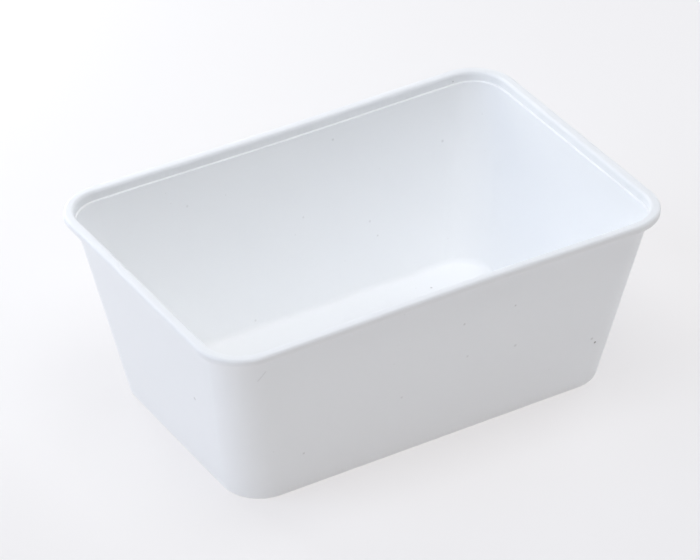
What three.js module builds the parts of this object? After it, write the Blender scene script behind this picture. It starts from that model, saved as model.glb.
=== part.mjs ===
// An open rectangular food container of thin white polypropylene, moulded in one piece.
// Millimetres, +Z up. The origin is the middle of the flat underside, X runs along the long sides.
import * as THREE from "three";

// Outside sizes over the rim and over the foot of the walls
const RIM_LENGTH = 175;
const RIM_WIDTH = 118.5;
const HEIGHT = 69.1;
const BASE_LENGTH = 144.2;
const BASE_WIDTH = 88.4;

// Radii of the upright corners, seen from above
const RIM_CORNER = 16.4;
const BASE_CORNER = 13.9;

// The moulded skin
const WALL_THICKNESS = 0.75;
const FLOOR_THICKNESS = 0.9;
const BASE_EDGE_RADIUS = 1.1;
const FLOOR_FILLET = 2.0;

// The rim: a crown with a narrow flat top and a lip turned down outside it, open underneath
const CROWN_WIDTH = 3.7;
const CROWN_OUTER_RADIUS = 1.1;
const CROWN_INNER_RADIUS = 1.2;
const LIP_DROP = 2.6;
const LIP_THICKNESS = 0.9;
const LIP_EDGE_RADIUS = 0.45;
const GROOVE_RADIUS = 0.5;

// The step under the crown on which a lid sits, and the same step on the outside of the wall
const LEDGE_DEPTH = 3.5;
const LEDGE_FILLET = 0.3;
const LEDGE_EDGE_RADIUS = 0.4;
const BAND_SLOPE = 0.03;
const STEP_DEPTH = 4.2;
const STEP_RADIUS = 0.5;
const WALL_TOP_INSET = 3.85;
const WALL_TOP_DEPTH = 4.4;

// How far the long sides are drawn in at the middle of the rim; the foot of the walls stays straight
const SIDE_BOW = 0.7;

// Fineness of the curves
const CORNER_STEPS = 10;
const LONG_SIDE_STEPS = 8;
const SHORT_SIDE_STEPS = 4;
const SECTION_TOLERANCE = 0.03;

// Places on the section are given by their inset from the rim's outermost line and their height.
const lengthInset = (RIM_LENGTH - BASE_LENGTH) / 2;
const widthInset = (RIM_WIDTH - BASE_WIDTH) / 2;
const baseInset = (lengthInset + widthInset) / 2;
const wallSlope = (baseInset - WALL_TOP_INSET) / (HEIGHT - WALL_TOP_DEPTH);
const skinAcross = WALL_THICKNESS * Math.hypot(1, wallSlope);
const ledgeHeight = HEIGHT - LEDGE_DEPTH;

// Inset of the wall's outer face at a height
const outerFace = (z) => baseInset - wallSlope * z;
// Inset of the wall's inner face at a height
const innerFace = (z) => outerFace(z) + skinAcross;

// The section's corners, from the underside out, up, over the rim and down to the floor.
// Each is [inset, height, radius of its rounding].
function sectionCorners() {
  const bandTop = CROWN_WIDTH;
  const bandFoot = bandTop + BAND_SLOPE * LEDGE_DEPTH;
  const bandOutside = bandFoot - skinAcross;
  const stepHeight = HEIGHT - STEP_DEPTH;
  const grooveTop = HEIGHT - LIP_THICKNESS;
  const lipFoot = HEIGHT - LIP_DROP;
  return [
    [baseInset, 0, BASE_EDGE_RADIUS],
    [outerFace(stepHeight), stepHeight, STEP_RADIUS],
    [bandOutside, ledgeHeight, STEP_RADIUS],
    [bandOutside, grooveTop, GROOVE_RADIUS],
    [LIP_THICKNESS, grooveTop, GROOVE_RADIUS],
    [LIP_THICKNESS, lipFoot, LIP_EDGE_RADIUS],
    [0, lipFoot, LIP_EDGE_RADIUS],
    [0, HEIGHT, CROWN_OUTER_RADIUS],
    [bandTop, HEIGHT, CROWN_INNER_RADIUS],
    [bandFoot, ledgeHeight, LEDGE_FILLET],
    [innerFace(ledgeHeight), ledgeHeight, LEDGE_EDGE_RADIUS],
    [innerFace(FLOOR_THICKNESS), FLOOR_THICKNESS, FLOOR_FILLET],
  ].map(([inset, z, radius]) => ({ at: new THREE.Vector2(inset, z), radius }));
}

// The arc that rounds one corner of the section between the points before and after it
function roundedCorner(before, corner, after) {
  const back = before.clone().sub(corner.at).normalize();
  const on = after.clone().sub(corner.at).normalize();
  const half = Math.acos(THREE.MathUtils.clamp(back.dot(on), -1, 1)) / 2;
  const turn = Math.PI - 2 * half;
  const middle = back.clone().add(on).normalize();
  const centre = middle.multiplyScalar(corner.radius / Math.sin(half)).add(corner.at);
  const first = back.clone().multiplyScalar(corner.radius / Math.tan(half)).add(corner.at);
  const side = Math.sign(back.cross(first.clone().sub(centre)));
  const widestStep = 2 * Math.acos(1 - SECTION_TOLERANCE / corner.radius);
  const steps = Math.max(2, Math.ceil(turn / widestStep));
  return Array.from({ length: steps + 1 }, (_, i) =>
    first.clone().rotateAround(centre, (side * turn * i) / steps),
  );
}

// All points of the section, rounded, from the underside's edge to the floor's edge.
// Where two roundings meet, as under the lip, their common point is kept once.
function section() {
  const corners = sectionCorners();
  const start = new THREE.Vector2(RIM_WIDTH / 2, 0);
  const end = new THREE.Vector2(RIM_WIDTH / 2, FLOOR_THICKNESS);
  const places = corners.flatMap((corner, i) =>
    roundedCorner(
      i ? corners[i - 1].at : start,
      corner,
      i < corners.length - 1 ? corners[i + 1].at : end,
    ),
  );
  return places.filter((place, i) => !i || place.distanceTo(places[i - 1]) > SECTION_TOLERANCE);
}

// Radius of the upright corners at a place on the section. In the rim they share one centre; below the ledge
// the centres move out, so that the wall's corners keep nearly the same radius down to the foot.
function uprightCorner(inset, z) {
  const gain = BASE_CORNER - RIM_CORNER + baseInset;
  const below = THREE.MathUtils.clamp(1 - z / ledgeHeight, 0, 1);
  return RIM_CORNER - inset + gain * below;
}

// One ring of the surface, seen from above: a rectangle with round corners, its long sides drawn in a little
function ring(inset, z) {
  const rise = THREE.MathUtils.clamp(z / ledgeHeight, 0, 1);
  const halfLength = RIM_LENGTH / 2 - inset - (lengthInset - baseInset) * (1 - rise);
  const halfWidth = RIM_WIDTH / 2 - inset - (widthInset - baseInset) * (1 - rise);
  const radius = uprightCorner(inset, z);
  const bow = SIDE_BOW * rise;
  const points = [];
  for (let quarter = 0; quarter < 4; quarter++) {
    const longSide = quarter % 2 === 0;
    const signX = quarter === 0 || quarter === 3 ? 1 : -1;
    const signY = quarter < 2 ? 1 : -1;
    const centre = new THREE.Vector2(signX * (halfLength - radius), signY * (halfWidth - radius));
    for (let i = 0; i <= CORNER_STEPS; i++) {
      const angle = ((quarter + i / CORNER_STEPS) * Math.PI) / 2;
      points.push(
        new THREE.Vector3(centre.x + radius * Math.cos(angle), centre.y + radius * Math.sin(angle), z),
      );
    }
    // After an even corner comes a long side, after an odd one a short side
    const steps = longSide ? LONG_SIDE_STEPS : SHORT_SIDE_STEPS;
    for (let i = 1; i < steps; i++) {
      const along = 1 - (2 * i) / steps;
      const drawn = (bow * (1 + Math.cos(Math.PI * along))) / 2;
      points.push(
        longSide
          ? new THREE.Vector3(centre.x * along, signY * (halfWidth - drawn), z)
          : new THREE.Vector3(signX * halfLength, centre.y * along, z),
      );
    }
  }
  return points;
}

// A closed skin over a stack of rings, with a fan over the first ring and one over the last
function skin(rings) {
  const count = rings[0].length;
  const first = new THREE.Vector3(0, 0, rings[0][0].z);
  const last = new THREE.Vector3(0, 0, rings[rings.length - 1][0].z);
  const points = [...rings.flat(), first, last];
  const firstFan = rings.length * count;
  const lastFan = firstFan + 1;
  const faces = [];
  for (let j = 0; j < count; j++) {
    const next = (j + 1) % count;
    faces.push(firstFan, next, j);
    for (let i = 0; i < rings.length - 1; i++) {
      const low = i * count;
      const high = low + count;
      faces.push(low + j, low + next, high + next);
      faces.push(low + j, high + next, high + j);
    }
    const top = (rings.length - 1) * count;
    faces.push(lastFan, top + j, top + next);
  }
  const geometry = new THREE.BufferGeometry().setFromPoints(points);
  geometry.setIndex(faces);
  geometry.computeVertexNormals();
  return geometry;
}

const whitePolypropylene = new THREE.MeshStandardMaterial({
  color: 0xeff1f4,
  roughness: 0.38,
  metalness: 0,
});

const container = new THREE.Mesh(
  skin(section().map((place) => ring(place.x, place.y))),
  whitePolypropylene,
);
container.name = "container";

const group = new THREE.Group();
group.name = "food_container";
group.add(container);

export default group;
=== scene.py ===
"""An empty microwave food container of thin white polypropylene, standing on a pale studio floor.

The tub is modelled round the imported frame, in metres, +Z up, X along its long sides. Its skin is
drawn up from the foot ring by ring, over the rim and down to the floor, and then its section is
rounded.
"""

from __future__ import annotations

import logging
import math
from collections.abc import Callable
from dataclasses import dataclass, field
from enum import Enum
from typing import Any

import bmesh
import bpy
from mathutils import Matrix, Vector

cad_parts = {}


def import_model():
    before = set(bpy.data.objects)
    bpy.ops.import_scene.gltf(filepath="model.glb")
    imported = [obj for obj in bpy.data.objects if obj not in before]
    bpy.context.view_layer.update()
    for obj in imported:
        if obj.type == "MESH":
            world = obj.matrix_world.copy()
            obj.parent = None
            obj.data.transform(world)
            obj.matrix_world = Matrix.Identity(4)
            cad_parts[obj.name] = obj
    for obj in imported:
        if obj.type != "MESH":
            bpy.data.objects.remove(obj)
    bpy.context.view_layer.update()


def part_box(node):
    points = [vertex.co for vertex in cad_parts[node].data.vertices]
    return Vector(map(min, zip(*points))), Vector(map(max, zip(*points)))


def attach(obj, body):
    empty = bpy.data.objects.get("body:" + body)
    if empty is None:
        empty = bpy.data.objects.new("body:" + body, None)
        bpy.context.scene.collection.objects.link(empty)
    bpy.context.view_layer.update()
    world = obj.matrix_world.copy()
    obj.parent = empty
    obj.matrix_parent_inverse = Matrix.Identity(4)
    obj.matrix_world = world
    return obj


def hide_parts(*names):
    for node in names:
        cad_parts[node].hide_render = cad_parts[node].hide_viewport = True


LOG = logging.getLogger("food_container")

MM = 0.001
NODE = "container"
BODY = "root"

# Two places closer together than this are taken for one
SLACK = 0.01 * MM

# The photograph's frame, in pixels, and where in a pixel its middle lies
PHOTO_WIDTH = 700
PHOTO_HEIGHT = 560
PIXEL_MIDDLE = 0.5

# The sRGB curve: straight near black, and a power above the knee
SRGB_KNEE = 0.04045
SRGB_SLOPE = 12.92
SRGB_OFFSET = 0.055
SRGB_POWER = 2.4


def linear(colour: str) -> tuple[float, float, float, float]:
    """Turns an sRGB colour into the linear one that shaders take.

    Args:
        colour: The colour as "#rrggbb".

    Returns:
        Linear red, green and blue, and an alpha of 1.
    """
    channels = [int(colour[i : i + 2], 16) / 255 for i in (1, 3, 5)]
    red, green, blue = (
        c / SRGB_SLOPE if c <= SRGB_KNEE else ((c + SRGB_OFFSET) / (1 + SRGB_OFFSET)) ** SRGB_POWER
        for c in channels
    )
    return red, green, blue, 1.0


def add_node(
    tree: bpy.types.NodeTree,
    kind: str,
    inputs: dict[str | int, Any] | None = None,
    **settings: Any,
) -> bpy.types.Node:
    """Adds one node to a tree, with its settings, values and links.

    Args:
        tree: The node tree.
        kind: The node's type name.
        inputs: Value or source socket for each input, by the input's name or number.
        **settings: The node's own properties.

    Returns:
        The new node.
    """
    node = tree.nodes.new(kind)
    for name, value in settings.items():
        setattr(node, name, value)
    for key, value in (inputs or {}).items():
        if isinstance(value, bpy.types.NodeSocket):
            tree.links.new(value, node.inputs[key])
        else:
            node.inputs[key].default_value = value
    return node


class Corner(Enum):
    """The four upright corners, each with the signs of its X and Y."""

    FAR_RIGHT = (1, 1)
    FAR_LEFT = (-1, 1)
    NEAR_LEFT = (-1, -1)
    NEAR_RIGHT = (1, -1)


class Side(Enum):
    """The four sides, each with the direction in which it faces."""

    FAR = (0, 1)
    LEFT = (-1, 0)
    NEAR = (0, -1)
    RIGHT = (1, 0)

    @property
    def is_long(self) -> bool:
        """Whether this is one of the two long sides."""
        return self.value[0] == 0

    @property
    def sign(self) -> int:
        """The sign of the coordinate across this side."""
        return sum(self.value)


@dataclass(frozen=True)
class Speck:
    """A small dark speck in the skin, by the photograph's pixel that shows it."""

    name: str
    across: float
    down: float
    width: float = 1.0 * MM
    strength: float = 0.18


@dataclass(frozen=True)
class Scuff:
    """A faint short scuff, by the photograph's pixels at both of its ends."""

    name: str
    start_across: float
    start_down: float
    end_across: float
    end_down: float
    width: float = 0.7 * MM
    strength: float = 0.125


SPECKS = (
    Speck("far end of the band", across=452.5, down=81.0, width=0.6 * MM, strength=0.4),
    Speck("far wall, high on the right", across=442.0, down=140.5, width=1.15 * MM),
    Speck("far wall, high in the middle", across=332.4, down=139.2),
    Speck("far wall, left", across=186.7, down=205.8, strength=0.14),
    Speck("far wall, middle", across=302.8, down=216.8, width=0.85 * MM, strength=0.16),
    Speck("far wall, right of the middle", across=369.4, down=220.8, strength=0.16),
    Speck("far wall, low right", across=377.2, down=235.0, width=0.85 * MM),
    Speck("far wall, low left", across=255.0, down=320.0, width=0.9 * MM, strength=0.16),
    Speck("tub floor", across=430.8, down=287.2, width=0.85 * MM, strength=0.42),
    Speck("near wall, high", across=515.0, down=305.0, width=0.9 * MM, strength=0.28),
    Speck("near wall, middle", across=464.0, down=323.8, strength=0.24),
    Speck("near wall, low", across=467.0, down=355.8, strength=0.17),
    Speck("near wall, low right", across=514.8, down=345.0, width=1.2 * MM, strength=0.2),
    Speck("near wall, right end", across=594.4, down=341.8, width=0.92 * MM, strength=0.85),
    Speck("near wall, left of that", across=591.4, down=338.2, width=1.15 * MM, strength=0.26),
    Speck("near wall, foot on the left", across=303.3, down=452.8, strength=0.24),
    Speck("near wall, foot in the middle", across=401.2, down=397.0, strength=0.17),
    Speck("short wall, low", across=194.2, down=398.0, width=1.3 * MM, strength=0.33),
)
SCUFF = Scuff(
    "under the near corner of the rim",
    start_across=265.0,
    start_down=371.5,
    end_across=257.5,
    end_down=380.5,
)


@dataclass(frozen=True)
class Spot:
    """A blemish's place on the skin: a ball or a rod round a line, in metres."""

    start: Vector
    end: Vector
    radius: float
    strength: float


@dataclass(frozen=True)
class MouldedPolypropylene:
    """White polypropylene from a satin injection mould: milky, a little waxy, and thin.

    Light scatters in it over the length of scatter. A fleck or spot fades in from its edge to its
    core, which are given as shares of its radius.
    """

    name: str = "white_polypropylene_satin"
    colour: str = "#fafbfc"
    fleck: str = "#6d675f"
    roughness: float = 0.5
    ior: float = 1.49
    scatter: float = 0.8 * MM
    scatter_weight: float = 1.0
    scatter_colour: tuple[float, float, float] = (1.0, 1.0, 1.0)
    fleck_spacing: float = 9.0 * MM
    fleck_width: float = 0.6 * MM
    fleck_strength: float = 0.13
    fleck_core: float = 0.5
    spot_edge: float = 1.3
    spot_core: float = 0.35
    grain: float = 0.4 * MM
    grain_depth: float = 0.004 * MM
    grain_detail: float = 2.0
    ragged: float = 0.12 * MM

    def material(self, spots: list[Spot]) -> bpy.types.Material:
        """Makes the material.

        Args:
            spots: Blemishes that stand at known places.

        Returns:
            The finished material.
        """
        made = bpy.data.materials.new(self.name)
        made.use_nodes = True
        tree = made.node_tree
        tree.nodes.clear()
        place = add_node(tree, "ShaderNodeTexCoord").outputs["Object"]
        grain = add_node(tree, "ShaderNodeTexNoise", {
            "Vector": place, "Scale": 1 / self.grain, "Detail": self.grain_detail,
        })
        dark = self.flecks(tree, place, grain, spots)
        # White pigment, broken only by the flecks
        colour = add_node(tree, "ShaderNodeMix", {
            "Factor": dark, "A": linear(self.colour), "B": linear(self.fleck),
        }, data_type="RGBA")
        # The mould's satin grain, too fine to see but enough to keep the gloss broad
        bump = add_node(tree, "ShaderNodeBump", {
            "Height": grain.outputs["Fac"], "Distance": self.grain_depth,
        })
        # Thin polypropylene passes light, which softens the rim and brightens walls lit from behind
        shader = add_node(tree, "ShaderNodeBsdfPrincipled", {
            "Base Color": colour.outputs["Result"], "Roughness": self.roughness, "IOR": self.ior,
            "Normal": bump.outputs["Normal"], "Subsurface Weight": self.scatter_weight,
            "Subsurface Radius": self.scatter_colour, "Subsurface Scale": self.scatter,
        })
        add_node(tree, "ShaderNodeOutputMaterial", {"Surface": shader.outputs["BSDF"]})
        return made

    def flecks(
        self,
        tree: bpy.types.NodeTree,
        place: bpy.types.NodeSocket,
        grain: bpy.types.Node,
        spots: list[Spot],
    ) -> bpy.types.NodeSocket:
        """Gathers the faint flecks in the pigment and the blemishes at known places.

        Args:
            tree: The material's node tree.
            place: Where the shaded point lies on the object.
            grain: Fine noise that makes the flecks' outlines ragged.
            spots: Blemishes that stand at known places.

        Returns:
            How dark the skin is, from 0 to 1.
        """
        reach_about = Vector((1.0, 1.0, 1.0)) * self.ragged
        ragged = add_node(tree, "ShaderNodeVectorMath", {
            0: grain.outputs["Color"], 1: reach_about, 2: place,
        }, operation="MULTIPLY_ADD").outputs["Vector"]
        here = add_node(tree, "ShaderNodeVectorMath", {
            0: ragged, 1: -reach_about / 2,
        }, operation="ADD").outputs["Vector"]
        cells = add_node(tree, "ShaderNodeTexVoronoi", {
            "Vector": here, "Scale": 1 / self.fleck_spacing,
        })
        reach = self.fleck_width / 2 / self.fleck_spacing
        dark = add_node(tree, "ShaderNodeMapRange", {
            "Value": cells.outputs["Distance"], "From Min": reach,
            "From Max": reach * self.fleck_core, "To Min": 0.0, "To Max": self.fleck_strength,
        }).outputs["Result"]
        for spot in spots:
            away = self.distance(tree, here, spot)
            shade = add_node(tree, "ShaderNodeMapRange", {
                "Value": away, "From Min": spot.radius * self.spot_edge,
                "From Max": spot.radius * self.spot_core, "To Min": 0.0, "To Max": spot.strength,
            })
            dark = add_node(tree, "ShaderNodeMath", {0: dark, 1: shade.outputs["Result"]},
                            operation="MAXIMUM").outputs["Value"]
        return dark

    @staticmethod
    def distance(
        tree: bpy.types.NodeTree, here: bpy.types.NodeSocket, spot: Spot
    ) -> bpy.types.NodeSocket:
        """Measures how far a point lies from a blemish's middle line.

        Args:
            tree: The material's node tree.
            here: The point.
            spot: The blemish.

        Returns:
            The distance in metres.
        """
        line = spot.end - spot.start
        if line.length < SLACK:
            return add_node(tree, "ShaderNodeVectorMath", {
                0: here, 1: spot.start,
            }, operation="DISTANCE").outputs["Value"]
        arm = add_node(tree, "ShaderNodeVectorMath", {
            0: here, 1: spot.start,
        }, operation="SUBTRACT")
        share = add_node(tree, "ShaderNodeVectorMath", {
            0: arm.outputs["Vector"], 1: line / line.length_squared,
        }, operation="DOT_PRODUCT")
        held = add_node(tree, "ShaderNodeClamp", {"Value": share.outputs["Value"]})
        foot = add_node(tree, "ShaderNodeVectorMath", {
            0: line, "Scale": held.outputs["Result"],
        }, operation="SCALE")
        return add_node(tree, "ShaderNodeVectorMath", {
            0: arm.outputs["Vector"], 1: foot.outputs["Vector"],
        }, operation="DISTANCE").outputs["Value"]


@dataclass(frozen=True)
class Outline:
    """One ring of the skin, seen from above: a rectangle with round corners at one height."""

    half_length: float
    half_width: float
    radius: float
    height: float

    def centre(self, corner: Corner) -> Vector:
        """Finds the centre of a corner's arc.

        Args:
            corner: The corner.

        Returns:
            The centre, at the ring's height.
        """
        sign_x, sign_y = corner.value
        across, along = self.half_length - self.radius, self.half_width - self.radius
        return Vector((sign_x * across, sign_y * along, self.height))


@dataclass(frozen=True)
class Place:
    """A corner of the section: its inset from the rim's outer line, its height, its rounding."""

    inset: float
    height: float
    rounding: float


@dataclass
class Container:
    """The tub, moulded in one piece: foot, walls, ledge, crown and turned-down lip."""

    rim_length: float
    rim_width: float
    height: float
    base_length: float = 144.2 * MM
    base_width: float = 88.4 * MM
    rim_corner: float = 16.4 * MM
    base_corner: float = 13.9 * MM
    wall_thickness: float = 0.75 * MM
    floor_thickness: float = 0.9 * MM
    base_edge: float = 1.1 * MM
    floor_fillet: float = 2.0 * MM
    crown_width: float = 3.7 * MM
    crown_outer: float = 1.1 * MM
    crown_inner: float = 1.2 * MM
    lip_drop: float = 2.6 * MM
    lip_thickness: float = 0.9 * MM
    groove_radius: float = 0.5 * MM
    ledge_depth: float = 3.5 * MM
    ledge_fillet: float = 0.3 * MM
    ledge_edge: float = 0.4 * MM
    band_slope: float = 0.03
    step_depth: float = 4.2 * MM
    step_radius: float = 0.5 * MM
    wall_top_inset: float = 3.85 * MM
    wall_top_depth: float = 4.4 * MM
    side_bow: float = 0.7 * MM
    corner_segments: int = 16
    long_side_cuts: int = 15
    short_side_cuts: int = 9
    wall_cuts: int = 9
    rounding_segments: int = 8
    finish: MouldedPolypropylene = field(default_factory=MouldedPolypropylene)

    @property
    def base_inset(self) -> float:
        """How far the foot stands in from the rim, the mean of both directions."""
        return (self.rim_length - self.base_length + self.rim_width - self.base_width) / 4

    @property
    def ledge_height(self) -> float:
        """Height of the ledge on which a lid sits."""
        return self.height - self.ledge_depth

    @property
    def wall_slope(self) -> float:
        """How far the wall leans out for each metre up."""
        return (self.base_inset - self.wall_top_inset) / (self.height - self.wall_top_depth)

    @property
    def skin_across(self) -> float:
        """The wall's thickness measured level."""
        return self.wall_thickness * math.hypot(1, self.wall_slope)

    def outer_face(self, height: float) -> float:
        """Inset of the wall's outer face at a height."""
        return self.base_inset - self.wall_slope * height

    def inner_face(self, height: float) -> float:
        """Inset of the wall's inner face at a height."""
        return self.outer_face(height) + self.skin_across

    def section(self) -> list[Place]:
        """Lists the section's corners, from the underside's edge over the rim to the floor's edge.

        Returns:
            The corners in order, each with its rounding.
        """
        band_foot = self.crown_width + self.band_slope * self.ledge_depth
        band_outside = band_foot - self.skin_across
        step_height = self.height - self.step_depth
        groove_top = self.height - self.lip_thickness
        lip_foot = self.height - self.lip_drop
        lip_edge = self.lip_thickness / 2
        return [
            Place(self.base_inset, 0.0, self.base_edge),
            Place(self.outer_face(step_height), step_height, self.step_radius),
            Place(band_outside, self.ledge_height, self.step_radius),
            Place(band_outside, groove_top, self.groove_radius),
            Place(self.lip_thickness, groove_top, self.groove_radius),
            Place(self.lip_thickness, lip_foot, lip_edge),
            Place(0.0, lip_foot, lip_edge),
            Place(0.0, self.height, self.crown_outer),
            Place(self.crown_width, self.height, self.crown_inner),
            Place(band_foot, self.ledge_height, self.ledge_fillet),
            Place(self.inner_face(self.ledge_height), self.ledge_height, self.ledge_edge),
            Place(self.inner_face(self.floor_thickness), self.floor_thickness, self.floor_fillet),
        ]

    def outline(self, place: Place) -> Outline:
        """Works out the ring that runs round the tub through a corner of the section.

        In the rim the rings share the centres of their corners. Below the ledge the centres move
        out, so that the upright corners keep nearly the same radius down to the foot.

        Args:
            place: The corner of the section.

        Returns:
            The ring.
        """
        below = min(max(1 - place.height / self.ledge_height, 0.0), 1.0)
        length_gain = (self.rim_length - self.base_length) / 2 - self.base_inset
        width_gain = (self.rim_width - self.base_width) / 2 - self.base_inset
        corner_gain = self.base_corner - self.rim_corner + self.base_inset
        return Outline(
            self.rim_length / 2 - place.inset - length_gain * below,
            self.rim_width / 2 - place.inset - width_gain * below,
            self.rim_corner - place.inset + corner_gain * below,
            place.height,
        )

    def tangent(self, places: list[Place], index: int) -> float:
        """Distance from a corner of the section to where its rounding starts.

        Args:
            places: The section's corners.
            index: The corner's number.

        Returns:
            The distance along either face.
        """
        middle_below = Vector((self.rim_width / 2, 0.0))
        middle_inside = Vector((self.rim_width / 2, self.floor_thickness))
        corners = [Vector((place.inset, place.height)) for place in places]
        line = [middle_below, *corners, middle_inside]
        before, corner, after = line[index], line[index + 1], line[index + 2]
        half_angle = (before - corner).angle(after - corner) / 2
        return places[index].rounding / math.tan(half_angle)

    def build(self) -> bpy.types.Object:
        """Models the tub.

        Returns:
            The finished piece, in place.
        """
        places = self.section()
        tangents = [self.tangent(places, i) for i in range(len(places))]
        widest = max(tangents)
        piece = self.lay_foot(self.outline(places[0]))
        self.weigh_ring(tangents[0] / widest)
        for i in range(1, len(places)):
            self.draw_ring(piece, self.outline(places[i - 1]), self.outline(places[i]))
            self.weigh_ring(tangents[i] / widest)
        bpy.ops.mesh.edge_face_add()
        self.cut_walls(piece)
        bpy.ops.mesh.select_all(action="SELECT")
        bpy.ops.mesh.normals_make_consistent(inside=False)
        bpy.ops.object.mode_set(mode="OBJECT")
        self.round_section(piece, widest)
        self.bow_sides(piece)
        self.smooth(piece)
        return piece

    def dress(self, piece: bpy.types.Object, spots: list[Spot]) -> None:
        """Gives the piece its material and its place in the frame.

        Args:
            piece: The tub.
            spots: The blemishes on it.
        """
        piece.data.materials.append(self.finish.material(spots))
        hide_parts(NODE)
        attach(piece, BODY)

    def lay_foot(self, foot: Outline) -> bpy.types.Object:
        """Lays down the foot's flat plate, with round corners and divided sides.

        The plate is left selected.

        Args:
            foot: The foot's outline.

        Returns:
            The new piece, in edit mode.
        """
        bpy.ops.object.select_all(action="DESELECT")
        # Two metres wide, so that resizing by half a side's length gives the side
        bpy.ops.mesh.primitive_plane_add(size=2, location=(0, 0, 0))
        piece = bpy.context.object
        piece.name = piece.data.name = "tub"
        bpy.ops.object.mode_set(mode="EDIT")
        bpy.ops.mesh.select_mode(type="VERT")
        bpy.ops.mesh.select_all(action="SELECT")
        bpy.ops.transform.resize(
            value=(foot.half_length, foot.half_width, 1), center_override=(0, 0, 0)
        )
        bpy.ops.mesh.bevel(
            offset=foot.radius,
            offset_type="OFFSET",
            segments=self.corner_segments,
            affect="VERTICES",
        )
        for side in (Side.FAR, Side.NEAR, Side.LEFT, Side.RIGHT):
            self.pick(piece, lambda vertex, side=side: self.on_side(vertex.co, foot, side))
            cuts = self.long_side_cuts if side.is_long else self.short_side_cuts
            bpy.ops.mesh.subdivide(number_cuts=cuts)
        bpy.ops.mesh.select_all(action="SELECT")
        return piece

    @staticmethod
    def pick(piece: bpy.types.Object, test: Callable[[bmesh.types.BMVert], bool]) -> None:
        """Selects the vertices that pass a test, and the edges and faces that they bound.

        Args:
            piece: The piece, in edit mode.
            test: Says of a vertex whether it is selected.
        """
        mesh = bmesh.from_edit_mesh(piece.data)
        for vertex in mesh.verts:
            vertex.select = test(vertex)
        mesh.select_flush(True)
        mesh.select_flush(False)
        bmesh.update_edit_mesh(piece.data)

    @staticmethod
    def on_side(at: Vector, ring: Outline, side: Side) -> bool:
        """Says whether a point lies on a ring's straight side, its ends included.

        Args:
            at: The point.
            ring: The ring.
            side: The side.

        Returns:
            True if it does.
        """
        if side.is_long:
            across, along, reach, half = at.y, at.x, ring.half_width, ring.half_length
        else:
            across, along, reach, half = at.x, at.y, ring.half_length, ring.half_width
        return across * side.sign > reach - SLACK and abs(along) < half - ring.radius + SLACK

    def weigh_ring(self, weight: float) -> None:
        """Gives the selected ring a bevel weight, in place of the one that extruding passed on."""
        bpy.ops.transform.edge_bevelweight(value=-1)
        bpy.ops.transform.edge_bevelweight(value=weight)

    def draw_ring(self, piece: bpy.types.Object, old: Outline, new: Outline) -> None:
        """Extrudes the selected ring and moves its corners and sides to the next outline.

        Args:
            piece: The piece, in edit mode, with the last ring selected.
            old: The outline that the selected ring has.
            new: The outline that it gets.
        """
        lift = Vector((0, 0, new.height - old.height))
        bpy.ops.mesh.extrude_edges_move(TRANSFORM_OT_translate={"value": lift})
        mesh = bmesh.from_edit_mesh(piece.data)
        mesh.verts.index_update()
        places = {v.index: v.co.copy() for v in mesh.verts if v.select}
        inner_x, inner_y = old.half_length - old.radius, old.half_width - old.radius
        for corner in Corner:
            sign_x, sign_y = corner.value
            group = {
                i for i, at in places.items()
                if at.x * sign_x > inner_x - SLACK and at.y * sign_y > inner_y - SLACK
            }
            self.pick(piece, lambda vertex, group=group: vertex.index in group)
            centre = old.centre(corner) + lift
            ratio = new.radius / old.radius
            bpy.ops.transform.resize(value=(ratio, ratio, 1), center_override=centre)
            bpy.ops.transform.translate(value=new.centre(corner) - centre)
        for side in Side:
            if side.is_long:
                group = {
                    i for i, at in places.items()
                    if abs(at.x) < inner_x - SLACK and at.y * side.sign > 0
                }
                ratio = ((new.half_length - new.radius) / inner_x, 1, 1)
                move = (0, side.sign * (new.half_width - old.half_width), 0)
            else:
                group = {
                    i for i, at in places.items()
                    if abs(at.y) < inner_y - SLACK and at.x * side.sign > 0
                }
                ratio = (1, (new.half_width - new.radius) / inner_y, 1)
                move = (side.sign * (new.half_length - old.half_length), 0, 0)
            self.pick(piece, lambda vertex, group=group: vertex.index in group)
            bpy.ops.transform.resize(value=ratio, center_override=(0, 0, new.height))
            bpy.ops.transform.translate(value=move)
        self.pick(piece, lambda vertex: vertex.index in places)

    def cut_walls(self, piece: bpy.types.Object) -> None:
        """Divides both faces of the walls by level loops, which keep their shading even.

        Args:
            piece: The piece, in edit mode.
        """
        mesh = bmesh.from_edit_mesh(piece.data)
        tall = self.height / 2
        for edge in mesh.edges:
            edge.select = abs(edge.verts[0].co.z - edge.verts[1].co.z) > tall
        bmesh.update_edit_mesh(piece.data)
        bpy.ops.mesh.select_mode(type="EDGE")
        bpy.ops.mesh.subdivide(number_cuts=self.wall_cuts)

    def round_section(self, piece: bpy.types.Object, widest: float) -> None:
        """Rounds every ring by its weight.

        Args:
            piece: The piece.
            widest: The rounding's reach along a face at a weight of 1.
        """
        bevel = piece.modifiers.new("rounding", "BEVEL")
        bevel.limit_method = "WEIGHT"
        bevel.offset_type = "OFFSET"
        bevel.width = widest
        bevel.segments = self.rounding_segments
        bevel.use_clamp_overlap = False
        bpy.ops.object.modifier_apply(modifier=bevel.name)
        bpy.ops.object.mode_set(mode="EDIT")
        bpy.ops.mesh.select_all(action="SELECT")
        bpy.ops.mesh.remove_doubles(threshold=SLACK)
        bpy.ops.object.mode_set(mode="OBJECT")

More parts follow.
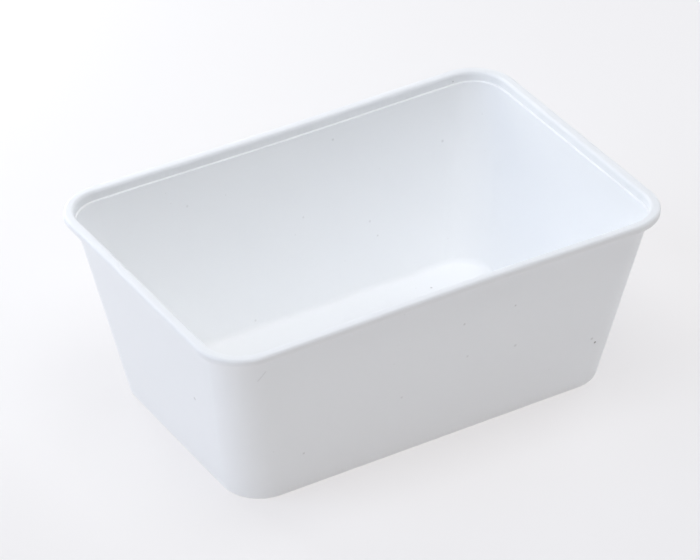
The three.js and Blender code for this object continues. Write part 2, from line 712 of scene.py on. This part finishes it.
    def bow_sides(self, piece: bpy.types.Object) -> None:
        """Draws in the middle of the long sides, most at the rim and not at all at the foot.

        Args:
            piece: The piece.
        """
        reach = self.rim_length / 2 - self.rim_corner
        for side in (Side.FAR, Side.NEAR):
            group = piece.vertex_groups.new(name=f"bow_{side.name.lower()}")
            for vertex in piece.data.vertices:
                at = vertex.co
                if at.y * side.sign > 0 and abs(at.x) < reach:
                    rise = min(at.z / self.ledge_height, 1.0)
                    wave = (1 + math.cos(math.pi * at.x / reach)) / 2
                    group.add([vertex.index], rise * wave, "REPLACE")
            draw = piece.modifiers.new(group.name, "DISPLACE")
            draw.direction = "Y"
            draw.mid_level = 0.0
            draw.strength = -side.sign * self.side_bow
            draw.vertex_group = group.name
            bpy.ops.object.modifier_apply(modifier=draw.name)

    def smooth(self, piece: bpy.types.Object) -> None:
        """Shades the piece smooth, with the large faces flat between their roundings.

        Args:
            piece: The piece.
        """
        bpy.ops.object.shade_smooth()
        weighted = piece.modifiers.new("even_shading", "WEIGHTED_NORMAL")
        weighted.mode = "FACE_AREA_WITH_ANGLE"
        bpy.ops.object.modifier_apply(modifier=weighted.name)


@dataclass(frozen=True)
class OpalAcrylic:
    """Opal acrylic of a light table, lit evenly from below: a pale floor with hardly a shadow."""

    name: str = "opal_acrylic_light_table"
    colour: str = "#a2a2a2"
    lit: str = "#fffcfd"
    brightness: float = 0.55
    roughness: float = 0.9
    specular: float = 0.2

    def material(self) -> bpy.types.Material:
        """Makes the material.

        Returns:
            The finished material.
        """
        made = bpy.data.materials.new(self.name)
        made.use_nodes = True
        tree = made.node_tree
        tree.nodes.clear()
        shader = add_node(tree, "ShaderNodeBsdfPrincipled", {
            "Base Color": linear(self.colour), "Roughness": self.roughness,
            "Specular IOR Level": self.specular, "Emission Color": linear(self.lit),
            "Emission Strength": self.brightness,
        })
        add_node(tree, "ShaderNodeOutputMaterial", {"Surface": shader.outputs["BSDF"]})
        return made


@dataclass(frozen=True)
class Softbox:
    """A square soft light that faces the tub, placed as seen from the camera.

    Its turn is in degrees from the camera towards the camera's right, its rise in degrees above
    the floor.
    """

    name: str
    turn: float
    rise: float
    power: float
    colour: str
    size: float = 1.2
    away: float = 1.6


SOFTBOXES = (
    Softbox("left", turn=-70, rise=36, power=11.4, colour="#dfebff"),
    Softbox("behind_right", turn=140, rise=25, power=9.2, colour="#eef5ff"),
    Softbox("high_front", turn=20, rise=76, power=13.2, colour="#fdfeff"),
    Softbox("high_right", turn=112, rise=58, power=1.6, colour="#eef3ff"),
    Softbox("low_left", turn=-135, rise=25, power=1.1, colour="#fcfeff", size=0.3, away=0.5),
)


@dataclass
class Studio:
    """A light table, soft light from several sides, and the camera at the photograph's angle."""

    # The camera's fit to the photograph: a long lens, a little off the tub's middle
    azimuth: float = math.radians(-30.5655)
    elevation: float = math.radians(33.6904)
    roll: float = math.radians(-0.745)
    distance: float = 1.5154
    aim_height: float = 35.0 * MM
    aim_right: float = -4.3 * MM
    aim_up: float = 3.97 * MM
    lens: float = 231.43
    sensor: float = 36.0
    clip_start: float = 0.05
    clip_end: float = 50.0
    floor_size: float = 12.0
    room_light: float = 0.01
    room_colour: str = "#ffffff"

    def directions(self) -> tuple[Vector, Vector, Vector]:
        """Works out the camera's own directions.

        Returns:
            Right, up and back, as unit vectors.
        """
        flat = math.cos(self.elevation)
        back = Vector((
            math.sin(self.azimuth) * flat, -math.cos(self.azimuth) * flat, math.sin(self.elevation),
        ))
        level = Vector((math.cos(self.azimuth), math.sin(self.azimuth), 0.0))
        upright = back.cross(level)
        right = math.cos(self.roll) * level + math.sin(self.roll) * upright
        up = math.cos(self.roll) * upright - math.sin(self.roll) * level
        return right, up, back

    def eye(self) -> Vector:
        """Works out where the camera stands.

        Returns:
            The camera's place.
        """
        right, up, back = self.directions()
        aim = Vector((0, 0, self.aim_height)) + right * self.aim_right + up * self.aim_up
        return aim + back * self.distance

    def place_camera(self) -> None:
        """Sets the camera at the photograph's angle."""
        right, up, back = self.directions()
        data = bpy.data.cameras.new("camera")
        data.lens = self.lens
        data.sensor_width = self.sensor
        data.clip_start = self.clip_start
        data.clip_end = self.clip_end
        camera = bpy.data.objects.new("camera", data)
        turn = Matrix((right, up, back)).transposed().to_4x4()
        camera.matrix_world = Matrix.Translation(self.eye()) @ turn
        bpy.context.collection.objects.link(camera)
        bpy.context.scene.camera = camera

    def point_behind(self, piece: bpy.types.Object, across: float, down: float) -> Vector:
        """Finds the point of a piece that a pixel of the photograph shows.

        Args:
            piece: The piece.
            across: The pixel's place from the left.
            down: The pixel's place from the top.

        Returns:
            The point in the piece's own space.
        """
        right, up, back = self.directions()
        per_pixel = self.sensor / self.lens / PHOTO_WIDTH
        to_right = across + PIXEL_MIDDLE - PHOTO_WIDTH / 2
        to_foot = down + PIXEL_MIDDLE - PHOTO_HEIGHT / 2
        sight = (right * to_right - up * to_foot) * per_pixel - back
        found, at, _, _ = piece.ray_cast(self.eye(), sight)
        if not found:
            raise ValueError(f"no skin behind pixel {across}, {down}")
        return at.copy()

    def find_spots(self, piece: bpy.types.Object) -> list[Spot]:
        """Finds where the specks and the scuff lie on the skin.

        Args:
            piece: The tub.

        Returns:
            The blemishes, in the tub's own space.
        """
        bpy.context.view_layer.update()
        spots = []
        for speck in SPECKS:
            at = self.point_behind(piece, speck.across, speck.down)
            spots.append(Spot(at, at, speck.width / 2, speck.strength))
        start = self.point_behind(piece, SCUFF.start_across, SCUFF.start_down)
        end = self.point_behind(piece, SCUFF.end_across, SCUFF.end_down)
        spots.append(Spot(start, end, SCUFF.width / 2, SCUFF.strength))
        return spots

    def lay_floor(self) -> None:
        """Lays the floor, a light table."""
        bpy.ops.object.select_all(action="DESELECT")
        bpy.ops.mesh.primitive_plane_add(size=self.floor_size, location=(0, 0, 0))
        floor = bpy.context.object
        floor.name = "studio_floor"
        floor.data.materials.append(OpalAcrylic().material())

    def light(self) -> None:
        """Hangs the softboxes and gives the room a faint even light."""
        world = bpy.data.worlds.new("studio")
        world.use_nodes = True
        background = world.node_tree.nodes["Background"]
        background.inputs["Color"].default_value = linear(self.room_colour)
        background.inputs["Strength"].default_value = self.room_light
        bpy.context.scene.world = world
        for softbox in SOFTBOXES:
            self.hang(softbox)

    def hang(self, softbox: Softbox) -> None:
        """Hangs one softbox so that it faces the tub.

        Args:
            softbox: The light.
        """
        _, _, back = self.directions()
        turn, rise = math.radians(softbox.turn), math.radians(softbox.rise)
        ahead = Vector((back.x, back.y, 0)).normalized()
        beside = Vector((0, 0, 1)).cross(ahead)
        level_way = ahead * math.cos(turn) + beside * math.sin(turn)
        way = level_way * math.cos(rise) + Vector((0, 0, math.sin(rise)))
        data = bpy.data.lights.new(softbox.name, "AREA")
        data.shape = "SQUARE"
        data.size = softbox.size
        data.energy = softbox.power
        red, green, blue, _ = linear(softbox.colour)
        data.color = (red, green, blue)
        lamp = bpy.data.objects.new(softbox.name, data)
        lamp.location = way * softbox.away
        lamp.rotation_euler = way.to_track_quat("Z", "Y").to_euler()
        bpy.context.collection.objects.link(lamp)


def main() -> None:
    """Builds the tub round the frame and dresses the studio."""
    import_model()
    low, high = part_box(NODE)
    studio = Studio()
    studio.place_camera()
    size = high - low
    container = Container(rim_length=size.x, rim_width=size.y, height=size.z)
    tub = container.build()
    container.dress(tub, studio.find_spots(tub))
    LOG.info("%s: %d faces", tub.name, len(tub.data.polygons))
    studio.lay_floor()
    studio.light()
    bpy.context.scene.view_settings.view_transform = "Standard"


if __name__ == "__main__":
    logging.basicConfig(level=logging.INFO)
    main()
